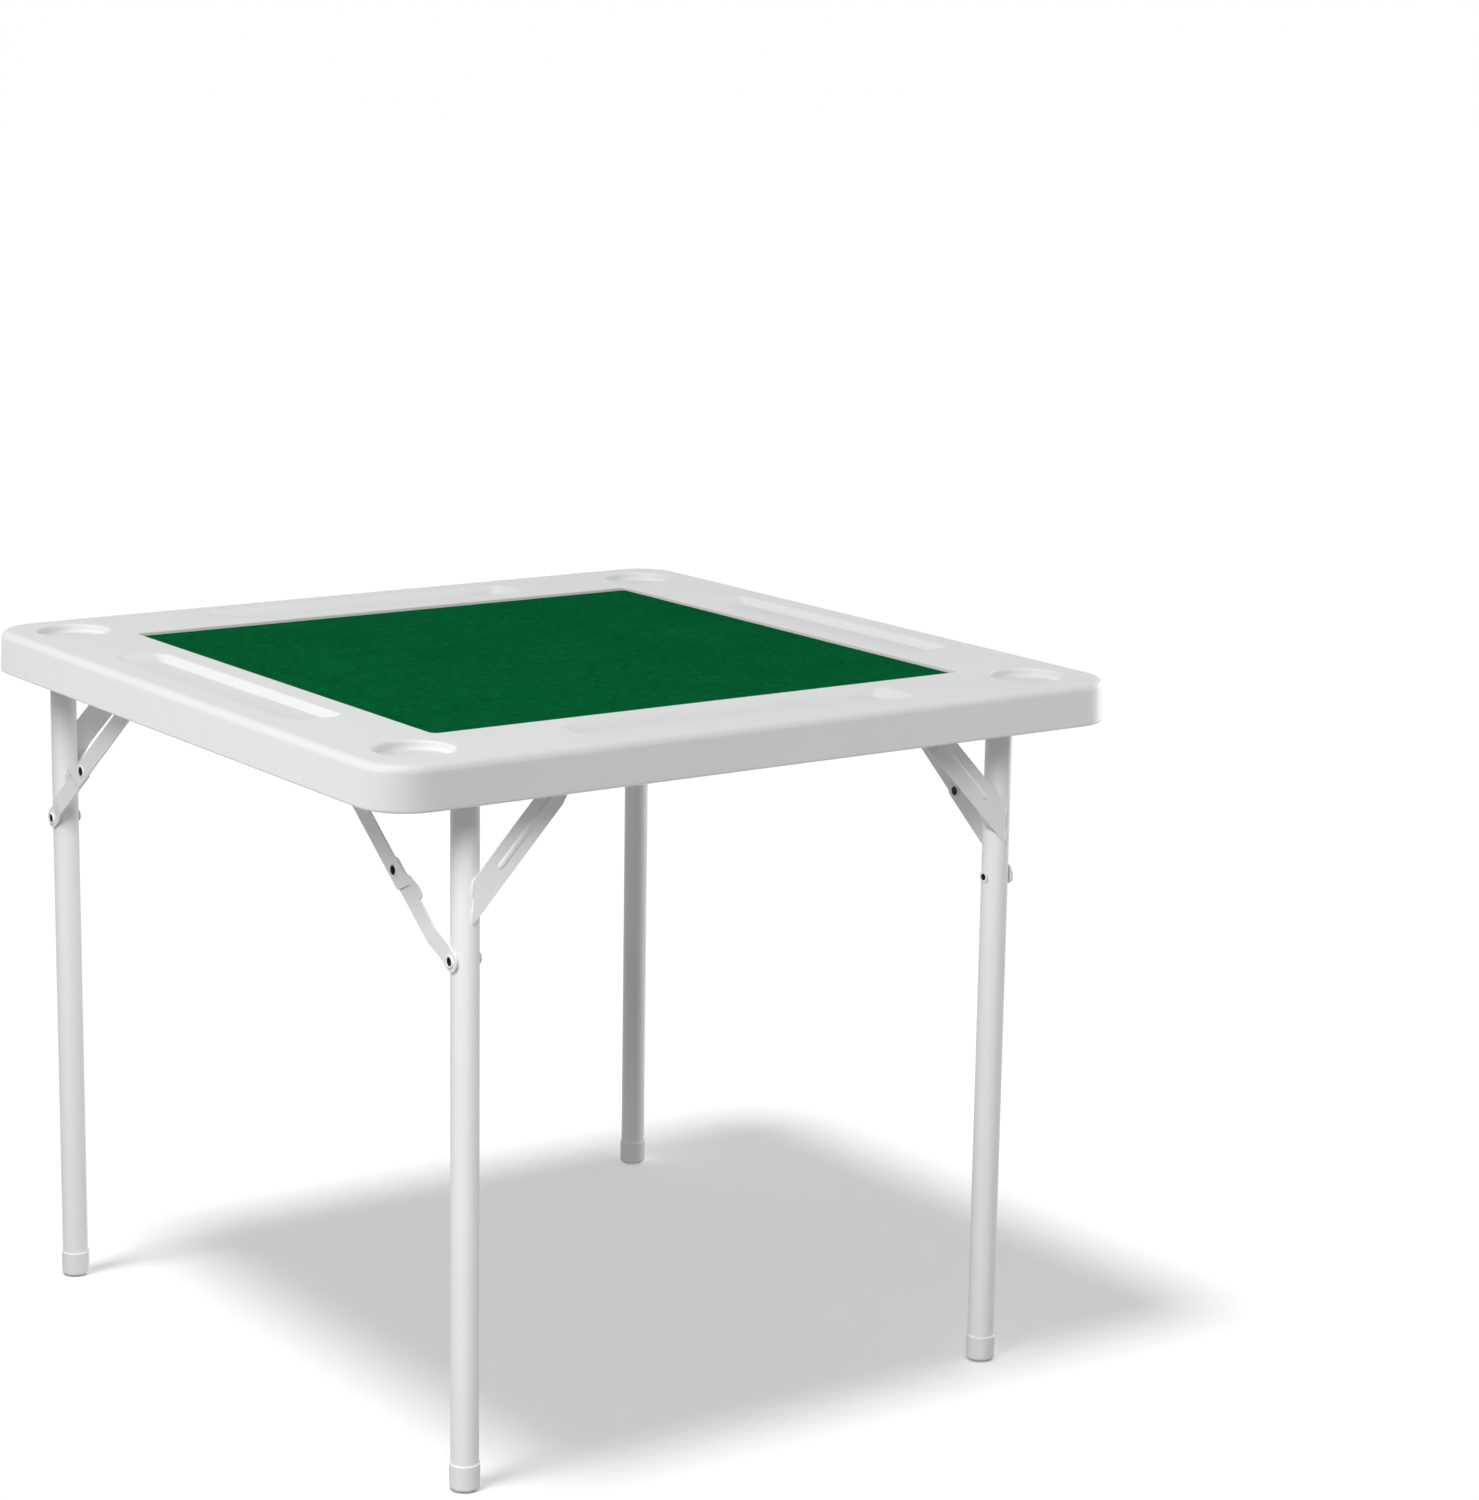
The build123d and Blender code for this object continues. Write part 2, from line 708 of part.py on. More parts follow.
def gusset(frame):
    """The right-hand gusset: a beaded strip from the leg's outer side up to the cross tube."""
    slant = math.atan2(gusset_leg_reach, gusset_tube_reach)
    span = math.hypot(gusset_leg_reach, gusset_tube_reach)
    half = gusset_width / 2
    low = -gusset_width
    high = span + gusset_width
    face = leg_radius + gusset_thickness
    inner = [
        (low, cross_tube_radius),
        (gusset_foot_length, cross_tube_radius),
        (gusset_foot_length + gusset_joggle_length, leg_radius),
        (high, leg_radius),
    ]
    outer = [(along, level + gusset_thickness) for along, level in reversed(inner)]
    strip = extrude(make_face(Polyline(*inner, *outer, close=True)), amount=half, both=True)
    bead_end = span - gusset_bead_end_margin
    bead_axis = face + gusset_bead_height - gusset_bead_radius
    bead = x_bar(gusset_bead_radius, gusset_bead_start, bead_end, bead_axis)
    for along in (gusset_bead_start, bead_end):
        bead = bead + Pos(along, bead_axis, 0) * Sphere(gusset_bead_radius)
    above = Pos((low + high) / 2, face + gusset_bead_radius - gusset_thickness / 2, 0)
    bead = bead & (above * Box(high - low, 2 * gusset_bead_radius, gusset_width))
    flange_inside = half - gusset_thickness
    flange_end = (gusset_tube_reach + flange_inside * math.sin(slant) - leg_radius) / math.cos(slant)
    flange_start = flange_end - gusset_flange_length
    flange = make_face(
        Polyline(
            (flange_start, face),
            (flange_start, leg_radius),
            (flange_end, leg_radius - gusset_flange_height),
            (flange_end, face),
            close=True,
        )
    )
    flange = Pos(0, 0, flange_inside) * extrude(flange, amount=gusset_thickness)
    strip = strip + bead + flange
    # The strip was drawn along X from the cross tube, outer side +Y, lower edge +Z.
    seat = Plane(
        origin=(frame.half_spacing - gusset_tube_reach, 0, frame.hinge_height),
        x_dir=(math.cos(slant), 0, -math.sin(slant)),
        z_dir=(-math.sin(slant), 0, -math.cos(slant)),
    )
    strip = seat.location * strip
    keep_width = gusset_tube_reach + gusset_width
    keep_height = gusset_leg_reach + gusset_width
    keep_depth = face + gusset_bead_height
    keep = Pos(frame.half_spacing - keep_width / 2, -keep_depth / 2, frame.hinge_height - keep_height / 2)
    strip = strip & (keep * Box(keep_width, keep_depth, keep_height))
    return Pos(0, -frame.hinge_reach, 0) * strip


def strip_solid(levels, outline):
    """A pressed strip: its plan outline, cut out of a bent strip of steel.

    The levels give places along the strip and the level of its inner face there. Along is Y,
    across is Z and the level is X.
    """
    outer = [(along, level + strip_thickness) for along, level in reversed(levels)]
    side = make_face(Polyline(*levels, *outer, close=True))
    plane = Plane(origin=(0, 0, 0), x_dir=(0, 1, 0), z_dir=(0, 0, -1))
    bent = extrude(plane * side, amount=2 * strip_width, both=True)
    lift = carrier_level + strip_thickness
    blank = Pos(-overrun, 0, 0) * extrude(Plane.YZ * outline, amount=lift + 2 * overrun)
    return bent & blank


def upper_link(frame):
    """The upper link of a stay, with the joggled stop finger beyond the knee."""
    half = strip_width / 2
    edge = half + finger_gap
    tip = upper_length + tail_length
    plate = make_face(
        Polyline(
            (0, half),
            (upper_length + tail_end_start, half),
            (upper_length + finger_inner_start, -edge),
            (tip, -edge),
            (tip, -edge - finger_width),
            (upper_length + finger_shoulder, -edge - finger_width),
            (upper_length + finger_root, -half),
            (0, -half),
            close=True,
        )
    )
    corner = plate.vertices().sort_by_distance((tip, -edge - finger_width))[0]
    plate = fillet(corner, finger_tip_round)
    outline = plate + Circle(half)
    bore = Circle(rivet_radius + rivet_clearance)
    outline = outline - bore - Pos(upper_length, 0) * bore
    levels = [
        (-strip_width, upper_pivot_level),
        (upper_pivot_joggle_start, upper_pivot_level),
        (upper_pivot_joggle_end, upper_level),
        (upper_length + finger_joggle_start, upper_level),
        (upper_length + finger_joggle_end, lower_level),
        (tip + overrun, lower_level),
    ]
    link = Rot(180 + stay_slope, 0, 0) * strip_solid(levels, outline)
    y, z = stay_point(frame, stay_top_reach, -stay_top_drop)
    return Pos(frame.leg_side, y, z) * link


def lower_link(frame):
    """The lower link of a stay, joggled out from the leg to its place inside the upper link."""
    half = strip_width / 2
    end = lower_length + lower_overhang - half
    outline = Pos(end / 2, 0) * Rectangle(end, strip_width) + Circle(half) + Pos(end, 0) * Circle(half)
    bore = Circle(rivet_radius + rivet_clearance)
    outline = outline - bore - Pos(lower_length, 0) * bore
    levels = [
        (-strip_width, lower_foot_level),
        (lower_joggle_start, lower_foot_level),
        (lower_joggle_end, lower_level),
        (end + strip_width, lower_level),
    ]
    link = Rot(stay_slope, 0, 0) * strip_solid(levels, outline)
    y, z = stay_point(frame, 0, -stay_leg_drop)
    return Pos(frame.leg_side, y, z) * link


def knee_rivet(frame):
    """The rivet at a stay's knee, held by the upper link."""
    reach = lower_length * math.cos(math.radians(stay_slope))
    rise = lower_length * math.sin(math.radians(stay_slope)) - stay_leg_drop
    y, z = stay_point(frame, reach, rise)
    outer = upper_level + strip_thickness
    inner = lower_level - knee_head_gap
    return Pos(frame.leg_side, y, z) * tubular_rivet(outer, inner, True)


def foot_rivet(frame):
    """The head half of the rivet at a stay's foot, held by the lower link."""
    y, z = stay_point(frame, 0, -stay_leg_drop)
    outer = lower_foot_level + strip_thickness
    return Pos(frame.leg_side, y, z) * tubular_rivet(outer, lower_foot_level, True, with_tail=False)


nodes = {}
nodes["tabletop"] = moulded_top()
nodes["felt"] = felt()
nodes["rail_screws"] = rail_screws()
nodes["leg_clip"] = leg_clip()

top_rivets = []
for side, side_name in ((-1, "left"), (1, "right")):
    nodes[f"rail_{side_name}"] = carried(rail(), side, -1)
    nodes[f"stay_bracket_{side_name}"] = carried(stay_bracket(), side, -1)
    top_rivets.append(carried(top_rivet(front_frame, bracket_thickness), side, -1))
    top_rivets.append(carried(top_rivet(rear_frame, rail_width), side, 1))
nodes["stay_top_rivets"] = Compound(children=top_rivets)

for frame, end, end_name in ((front_frame, -1, "front"), (rear_frame, 1, "rear")):
    nodes[f"{end_name}_cross_tube"] = carried(cross_tube(frame), 1, end)
    leg_rivets = []
    for side, side_name in ((-1, "left"), (1, "right")):
        nodes[f"{end_name}_leg_{side_name}"] = carried(leg(frame), side, end)
        nodes[f"{end_name}_foot_cap_{side_name}"] = carried(foot_cap(frame), side, end)
        nodes[f"{end_name}_gusset_{side_name}"] = carried(gusset(frame), side, end)
        nodes[f"{end_name}_upper_link_{side_name}"] = carried(upper_link(frame), side, end)
        nodes[f"{end_name}_lower_link_{side_name}"] = carried(lower_link(frame), side, end)
        nodes[f"{end_name}_knee_rivet_{side_name}"] = carried(knee_rivet(frame), side, end)
        nodes[f"{end_name}_stay_foot_rivet_{side_name}"] = carried(foot_rivet(frame), side, end)
        leg_rivets.append(carried(leg_rivet(frame), side, end))
    nodes[f"{end_name}_leg_rivets"] = Compound(children=leg_rivets)

os.makedirs("parts", exist_ok=True)
for name, shape in nodes.items():
    shape.label = name
    export_step(shape, f"parts/{name}.step")
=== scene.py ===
"""A square folding card table, dressed: finishes, playing cloth, rivet rims, weld beads, light and camera."""

import logging
import math
from collections.abc import Callable
from dataclasses import dataclass, field
from enum import Enum
from typing import Optional, Union

import bpy
from mathutils import Matrix, Vector


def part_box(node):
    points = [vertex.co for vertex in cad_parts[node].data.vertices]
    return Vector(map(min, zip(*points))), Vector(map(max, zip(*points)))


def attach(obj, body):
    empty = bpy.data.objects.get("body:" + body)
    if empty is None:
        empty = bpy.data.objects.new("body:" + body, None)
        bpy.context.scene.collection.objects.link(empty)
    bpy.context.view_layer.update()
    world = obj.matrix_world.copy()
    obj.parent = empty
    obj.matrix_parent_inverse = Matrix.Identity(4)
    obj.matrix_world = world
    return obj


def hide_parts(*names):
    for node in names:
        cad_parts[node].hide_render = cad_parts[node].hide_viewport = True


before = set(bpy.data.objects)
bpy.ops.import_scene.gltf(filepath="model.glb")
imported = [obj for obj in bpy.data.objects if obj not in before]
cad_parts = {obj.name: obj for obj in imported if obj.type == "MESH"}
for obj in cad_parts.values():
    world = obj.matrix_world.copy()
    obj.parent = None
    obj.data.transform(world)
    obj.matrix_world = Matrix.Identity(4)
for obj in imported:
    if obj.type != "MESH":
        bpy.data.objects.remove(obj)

log = logging.getLogger("card_table")

MM = 0.001
NOISE_MIDDLE = 0.5
MERGE_DISTANCE = 0.01 * MM

Number = Union[float, int]
Colour = tuple[float, float, float]
Place = tuple[float, float, float]


class Side(Enum):
    """The two sides of the table, by their direction along X."""

    LEFT = -1
    RIGHT = 1

    @property
    def label(self) -> str:
        """The side's word in the names of nodes and pieces."""
        return self.name.lower()


class End(Enum):
    """The two leg frames, by their direction along Y."""

    FRONT = -1
    REAR = 1

    @property
    def label(self) -> str:
        """The end's word in the names of nodes and pieces."""
        return self.name.lower()


class Reach(Enum):
    """What a softbox lights. None lights the floor, where the key alone casts the shadow."""

    TABLE = "table"
    TOP = "top"
    FRAMES = "frames"


class Slot(Enum):
    """The record's material slot names. Nothing in the script uses them."""

    CLOTH = "playing_felt"
    STEEL = "white_steel"


def srgb(red: int, green: int, blue: int) -> Colour:
    """Turn a display colour of 0 to 255 into the linear one that a shader takes.

    Args:
        red: Display red.
        green: Display green.
        blue: Display blue.

    Returns:
        The linear colour.
    """
    knee, low_gain, offset, power = 0.04045, 12.92, 0.055, 2.4
    shares = (red / 255, green / 255, blue / 255)
    return tuple(s / low_gain if s <= knee else ((s + offset) / (1 + offset)) ** power for s in shares)


@dataclass(frozen=True)
class Grain:
    """A noise over the object.

    Attributes:
        scale: Its features per metre.
        detail: How many finer layers it has.
        roughness: How strong the finer layers are.
    """

    scale: float
    detail: float = 2.0
    roughness: float = 0.5


class Wire:
    """A shader value that Python arithmetic can work on: each operation adds a Math node."""

    def __init__(self, shader: "Shader", socket: Optional[bpy.types.NodeSocket]) -> None:
        """Hold a socket of a shader.

        Args:
            shader: The shader that the socket is in.
            socket: The output socket, or None after a node that has none.
        """
        self.shader = shader
        self.socket = socket

    def _math(self, operation: str, first: "Operand", second: "Operand") -> "Wire":
        """Add a Math node on two operands."""
        return self.shader.node("ShaderNodeMath", {"operation": operation}, {0: first, 1: second})

    def __add__(self, other: "Operand") -> "Wire":
        """Return self + other."""
        return self._math("ADD", self, other)

    def __radd__(self, other: "Operand") -> "Wire":
        """Return other + self."""
        return self._math("ADD", other, self)

    def __sub__(self, other: "Operand") -> "Wire":
        """Return self - other."""
        return self._math("SUBTRACT", self, other)

    def __rsub__(self, other: "Operand") -> "Wire":
        """Return other - self."""
        return self._math("SUBTRACT", other, self)

    def __mul__(self, other: "Operand") -> "Wire":
        """Return self * other."""
        return self._math("MULTIPLY", self, other)

    def __rmul__(self, other: "Operand") -> "Wire":
        """Return other * self."""
        return self._math("MULTIPLY", other, self)

    def __pow__(self, other: "Operand") -> "Wire":
        """Return self to the power of other."""
        return self._math("POWER", self, other)

    def least(self, other: "Operand") -> "Wire":
        """Return the smaller of self and other."""
        return self._math("MINIMUM", self, other)

    def most(self, other: "Operand") -> "Wire":
        """Return the larger of self and other."""
        return self._math("MAXIMUM", self, other)


Operand = Union[Wire, Number]


class Shader:
    """The node tree of one material or of the world, built by one method that adds any node."""

    def __init__(self, owner: Union[bpy.types.Material, bpy.types.World]) -> None:
        """Start with an empty tree.

        Args:
            owner: The material or world that the nodes go into.
        """
        owner.use_nodes = True
        self.owner = owner
        self.tree = owner.node_tree
        self.tree.nodes.clear()

    @classmethod
    def named(cls, name: str) -> "Shader":
        """Start the shader of a new material."""
        return cls(bpy.data.materials.new(name))

    def node(
        self,
        kind: str,
        settings: Optional[dict[str, object]] = None,
        values: Optional[dict[Union[str, int], object]] = None,
        output: Union[str, int] = 0,
    ) -> Wire:
        """Add a node, set it up, then give its sockets values or links.

        Args:
            kind: The node's type name.
            settings: Attributes to set first.
            values: Sockets by name or place, each with a number, colour, vector or Wire.
            output: The output socket to return.

        Returns:
            The chosen output, or an empty Wire where the node has none.
        """
        made = self.tree.nodes.new(kind)
        for key, value in (settings or {}).items():
            setattr(made, key, value)
        for key, value in (values or {}).items():
            socket = made.inputs[key]
            if isinstance(value, Wire):
                self.tree.links.new(value.socket, socket)
            elif isinstance(value, tuple) and socket.type == "RGBA":
                socket.default_value = (*value, 1.0)
            else:
                socket.default_value = value
        return Wire(self, made.outputs[output] if len(made.outputs) else None)

    def coordinates(self) -> Wire:
        """Return the place on the object, which is the place on the table, in metres."""
        return self.node("ShaderNodeTexCoord", output="Object")

    def along(self, axis: str) -> Wire:
        """Return the place on the object along one axis, X, Y or Z."""
        return self.node("ShaderNodeSeparateXYZ", values={"Vector": self.coordinates()}, output=axis)

    def noise(self, grain: Grain) -> Wire:
        """Return a noise of about 0 to 1.

        Args:
            grain: The noise's scale and layers.

        Returns:
            The noise's strength.
        """
        values = {"Scale": grain.scale, "Detail": grain.detail, "Roughness": grain.roughness}
        return self.node("ShaderNodeTexNoise", values={"Vector": self.coordinates(), **values})

    def step(self, value: Wire, low: float, high: float) -> Wire:
        """Return a smooth step.

        Args:
            value: What the step follows.
            low: The value at and below which it is 0.
            high: The value at and above which it is 1.

        Returns:
            The step.
        """
        return self.node(
            "ShaderNodeMapRange",
            {"interpolation_type": "SMOOTHSTEP"},
            {"Value": value, "From Min": low, "From Max": high},
        )

    def mix(self, factor: Wire, first: Union[Colour, Wire], second: Union[Colour, Wire]) -> Wire:
        """Return a colour between two.

        Args:
            factor: How far it lies from the first, 0 to 1.
            first: The colour at 0.
            second: The colour at 1.

        Returns:
            The mixed colour.
        """
        factor_place, first_place, second_place, result_place = 0, 6, 7, 2
        return self.node(
            "ShaderNodeMix",
            {"data_type": "RGBA"},
            {factor_place: factor, first_place: first, second_place: second},
            output=result_place,
        )

    def bump(self, height: Wire, depth: float, over: Optional[Wire] = None) -> Wire:
        """Return a normal from a height.

        Args:
            height: The height, 0 to 1.
            depth: How deep a height of 1 is, in metres.
            over: Another bump that this one lies on.

        Returns:
            The normal.
        """
        values = {"Height": height, "Distance": depth, "Strength": 1.0}
        if over is not None:
            values["Normal"] = over
        return self.node("ShaderNodeBump", values=values)

    def seen(self) -> Wire:
        """Return 1 for what the camera sees, straight or by a reflection, and 0 for plain light."""
        kinds = ("Is Camera Ray", "Is Glossy Ray", "Is Transmission Ray")
        straight, mirrored, through = (self.node("ShaderNodeLightPath", output=kind) for kind in kinds)
        return straight.most(mirrored).most(through)

    def surface(self, values: dict[str, object]) -> bpy.types.Material:
        """End the material in a Principled shader.

        Args:
            values: The shader's sockets.

        Returns:
            The finished material.
        """
        principled = self.node("ShaderNodeBsdfPrincipled", values=values)
        self.node("ShaderNodeOutputMaterial", values={"Surface": principled})
        return self.owner


@dataclass(frozen=True)
class MouldedPlastic:
    """Blow-moulded white plastic: a fine pebble grain over slow waves, with faint mottling."""

    name: str = "moulded_plastic"
    base: Colour = srgb(233, 233, 234)
    shaded: Colour = srgb(224, 225, 226)
    mottle: Grain = Grain(9.0, 5.0, 0.6)
    waves: Grain = Grain(7.0, 1.0)
    wave_depth: float = 0.9 * MM
    pebble: Grain = Grain(750.0, 3.0, 0.6)
    pebble_depth: float = 0.05 * MM
    roughness: float = 0.46
    roughness_spread: float = 0.1
    specular: float = 0.35

    def make(self) -> bpy.types.Material:
        """Build the material."""
        shader = Shader.named(self.name)
        mottle = shader.noise(self.mottle)
        wavy = shader.bump(shader.noise(self.waves), self.wave_depth)
        return shader.surface(
            {
                "Base Color": shader.mix(mottle, self.base, self.shaded),
                "Roughness": (mottle - NOISE_MIDDLE) * self.roughness_spread + self.roughness,
                "Specular IOR Level": self.specular,
                "Normal": shader.bump(shader.noise(self.pebble), self.pebble_depth, over=wavy),
            }
        )


@dataclass(frozen=True)
class PowderCoat:
    """White powder coat on steel: satin, with an orange-peel skin."""

    name: str = "powder_coat"
    base: Colour = srgb(243, 243, 244)
    shaded: Colour = srgb(237, 238, 240)
    mottle: Grain = Grain(14.0, 4.0, 0.6)
    peel: Grain = Grain(420.0)
    peel_depth: float = 0.035 * MM
    roughness: float = 0.36
    roughness_spread: float = 0.08
    specular: float = 0.45

    def make(self) -> bpy.types.Material:
        """Build the material."""
        shader = Shader.named(self.name)
        mottle = shader.noise(self.mottle)
        return shader.surface(
            {
                "Base Color": shader.mix(mottle, self.base, self.shaded),
                "Roughness": (mottle - NOISE_MIDDLE) * self.roughness_spread + self.roughness,
                "Specular IOR Level": self.specular,
                "Normal": shader.bump(shader.noise(self.peel), self.peel_depth),
            }
        )


@dataclass(frozen=True)
class CapPlastic:
    """Smooth injection-moulded white plastic, scuffed near the floor.

    Attributes:
        scuff_top: How high over the floor the scuffs reach.
        scuff_low: The noise's value at which a scuff begins.
        scuff_high: The noise's value at which it is full.
        scuff_roughness: How much rougher a full scuff is.
    """

    name: str = "cap_plastic"
    base: Colour = srgb(236, 236, 236)
    scuffed: Colour = srgb(205, 204, 200)
    scuffs: Grain = Grain(160.0, 4.0, 0.7)
    scuff_top: float = 6 * MM
    scuff_low: float = 0.45
    scuff_high: float = 0.7
    scuff_roughness: float = 0.3
    grain: Grain = Grain(600.0)
    grain_depth: float = 0.03 * MM
    roughness: float = 0.42

    def make(self) -> bpy.types.Material:
        """Build the material."""
        shader = Shader.named(self.name)
        near_floor = 1 - shader.step(shader.along("Z"), 0.0, self.scuff_top)
        scuff = near_floor * shader.step(shader.noise(self.scuffs), self.scuff_low, self.scuff_high)
        return shader.surface(
            {
                "Base Color": shader.mix(scuff, self.base, self.scuffed),
                "Roughness": scuff * self.scuff_roughness + self.roughness,
                "Normal": shader.bump(shader.noise(self.grain), self.grain_depth),
            }
        )


@dataclass(frozen=True)
class PlayingFelt:
    """Short-napped green cloth: matted fibres in small tufts, with faint streaks of the nap.

    Attributes:
        fibre_share: The fibres' share of the pattern, and likewise for the tufts and the nap.
        dark_band: The pattern's values from which and to which the dark colour goes over to the base.
        light_band: The values from which and to which the base goes over to the light colour.
        fibre_relief: The fibres' share of the relief. The tufts have the rest.
    """

    name: str = "playing_felt"
    base: Colour = srgb(9, 97, 52)
    light: Colour = srgb(15, 112, 62)
    dark: Colour = srgb(4, 80, 40)
    fibres: Grain = Grain(900.0, 6.0, 0.75)
    tufts: Grain = Grain(160.0, 4.0, 0.7)
    nap: Grain = Grain(12.0, 3.0, 0.6)
    fibre_share: float = 0.3
    tuft_share: float = 0.55
    nap_share: float = 0.15
    dark_band: tuple[float, float] = (0.36, 0.52)
    light_band: tuple[float, float] = (0.5, 0.66)
    fibre_relief: float = 0.7
    relief_depth: float = 0.35 * MM
    roughness: float = 0.95

    def make(self) -> bpy.types.Material:
        """Build the material."""
        shader = Shader.named(self.name)
        fibres, tufts, nap = (shader.noise(grain) for grain in (self.fibres, self.tufts, self.nap))
        blend = fibres * self.fibre_share + tufts * self.tuft_share + nap * self.nap_share
        darker = shader.mix(shader.step(blend, *self.dark_band), self.dark, self.base)
        relief = fibres * self.fibre_relief + tufts * (1 - self.fibre_relief)
        return shader.surface(
            {
                "Base Color": shader.mix(shader.step(blend, *self.light_band), darker, self.light),
                "Roughness": self.roughness,
                "Specular IOR Level": 0.0,
                "Normal": shader.bump(relief, self.relief_depth),
            }
        )


@dataclass(frozen=True)
class RivetSteel:
    """A coated tubular rivet, with the shade in its hollow painted black.

    Attributes:
        axes: The Y and Z of each rivet's axis, which lies along X.
        bore_radius: How far from an axis the painted black shade reaches.
        softness: The width over which it fades out.
        bore_roughness: How much rougher the bore is.
        wear_roughness: How much rougher full wear is.
    """

    name: str
    axes: tuple[tuple[float, float], ...]
    coat: Colour = srgb(235, 235, 236)
    # Painted shade: near-black that stands in for the shade in the rivet's hollow.
    bore: Colour = srgb(10, 10, 11)
    bore_radius: float = 3.6 * MM
    softness: float = 0.1 * MM
    wear: Grain = Grain(300.0, 3.0)
    wear_depth: float = 0.03 * MM
    roughness: float = 0.34
    bore_roughness: float = 0.4
    wear_roughness: float = 0.1

    def make(self) -> bpy.types.Material:
        """Build the material."""
        shader = Shader.named(self.name)
        y, z = shader.along("Y"), shader.along("Z")
        nearest: Optional[Wire] = None
        for axis_y, axis_z in self.axes:
            away = ((y - axis_y) ** 2 + (z - axis_z) ** 2) ** 0.5
            nearest = away if nearest is None else nearest.least(away)
        # Painted shade: mask of the hollow, painted black out to bore_radius.
        inside = 1 - shader.step(nearest, self.bore_radius - self.softness, self.bore_radius)
        wear = shader.noise(self.wear)
        return shader.surface(
            {
                "Base Color": shader.mix(inside, self.coat, self.bore),
                "Roughness": inside * self.bore_roughness + wear * self.wear_roughness + self.roughness,
                "Normal": shader.bump(wear, self.wear_depth),
            }
        )


@dataclass(frozen=True)
class ZincScrew:
    """A zinc-plated pan-head screw, lightly brushed."""

    name: str = "zinc_screw"
    base: Colour = srgb(186, 188, 190)
    dull: Colour = srgb(140, 142, 145)
    brushing: Grain = Grain(1400.0)
    brush_depth: float = 0.02 * MM
    roughness: float = 0.25
    roughness_spread: float = 0.2

    def make(self) -> bpy.types.Material:
        """Build the material."""
        shader = Shader.named(self.name)
        brushed = shader.noise(self.brushing)
        return shader.surface(
            {
                "Base Color": shader.mix(brushed, self.base, self.dull),
                "Metallic": 1.0,
                "Roughness": brushed * self.roughness_spread + self.roughness,
                "Normal": shader.bump(brushed, self.brush_depth),
            }
        )


@dataclass(frozen=True)
class ClipPlastic:
    """Black moulded plastic with a fine spark grain."""

    name: str = "clip_plastic"
    base: Colour = srgb(22, 22, 24)
    worn: Colour = srgb(42, 42, 45)
    grain: Grain = Grain(900.0, 3.0)
    grain_depth: float = 0.05 * MM
    roughness: float = 0.4
    roughness_spread: float = 0.2

    def make(self) -> bpy.types.Material:
        """Build the material."""
        shader = Shader.named(self.name)
        grain = shader.noise(self.grain)
        return shader.surface(
            {
                "Base Color": shader.mix(grain, self.base, self.worn),
                "Roughness": grain * self.roughness_spread + self.roughness,
                "Normal": shader.bump(grain, self.grain_depth),
            }
        )


class FinishShelf:
    """The finishes, each made once, and handed to pieces and nodes."""

    def __init__(self) -> None:
        """Make the plain finishes. Rivets get theirs one by one."""
        self.plastic = MouldedPlastic().make()
        self.coat = PowderCoat().make()
        self.cap = CapPlastic().make()
        self.felt = PlayingFelt().make()
        self.zinc = ZincScrew().make()
        self.clip = ClipPlastic().make()

    @staticmethod
    def put(piece: bpy.types.Object, material: bpy.types.Material) -> None:
        """Give a piece one material."""
        piece.data.materials.clear()
        piece.data.materials.append(material)


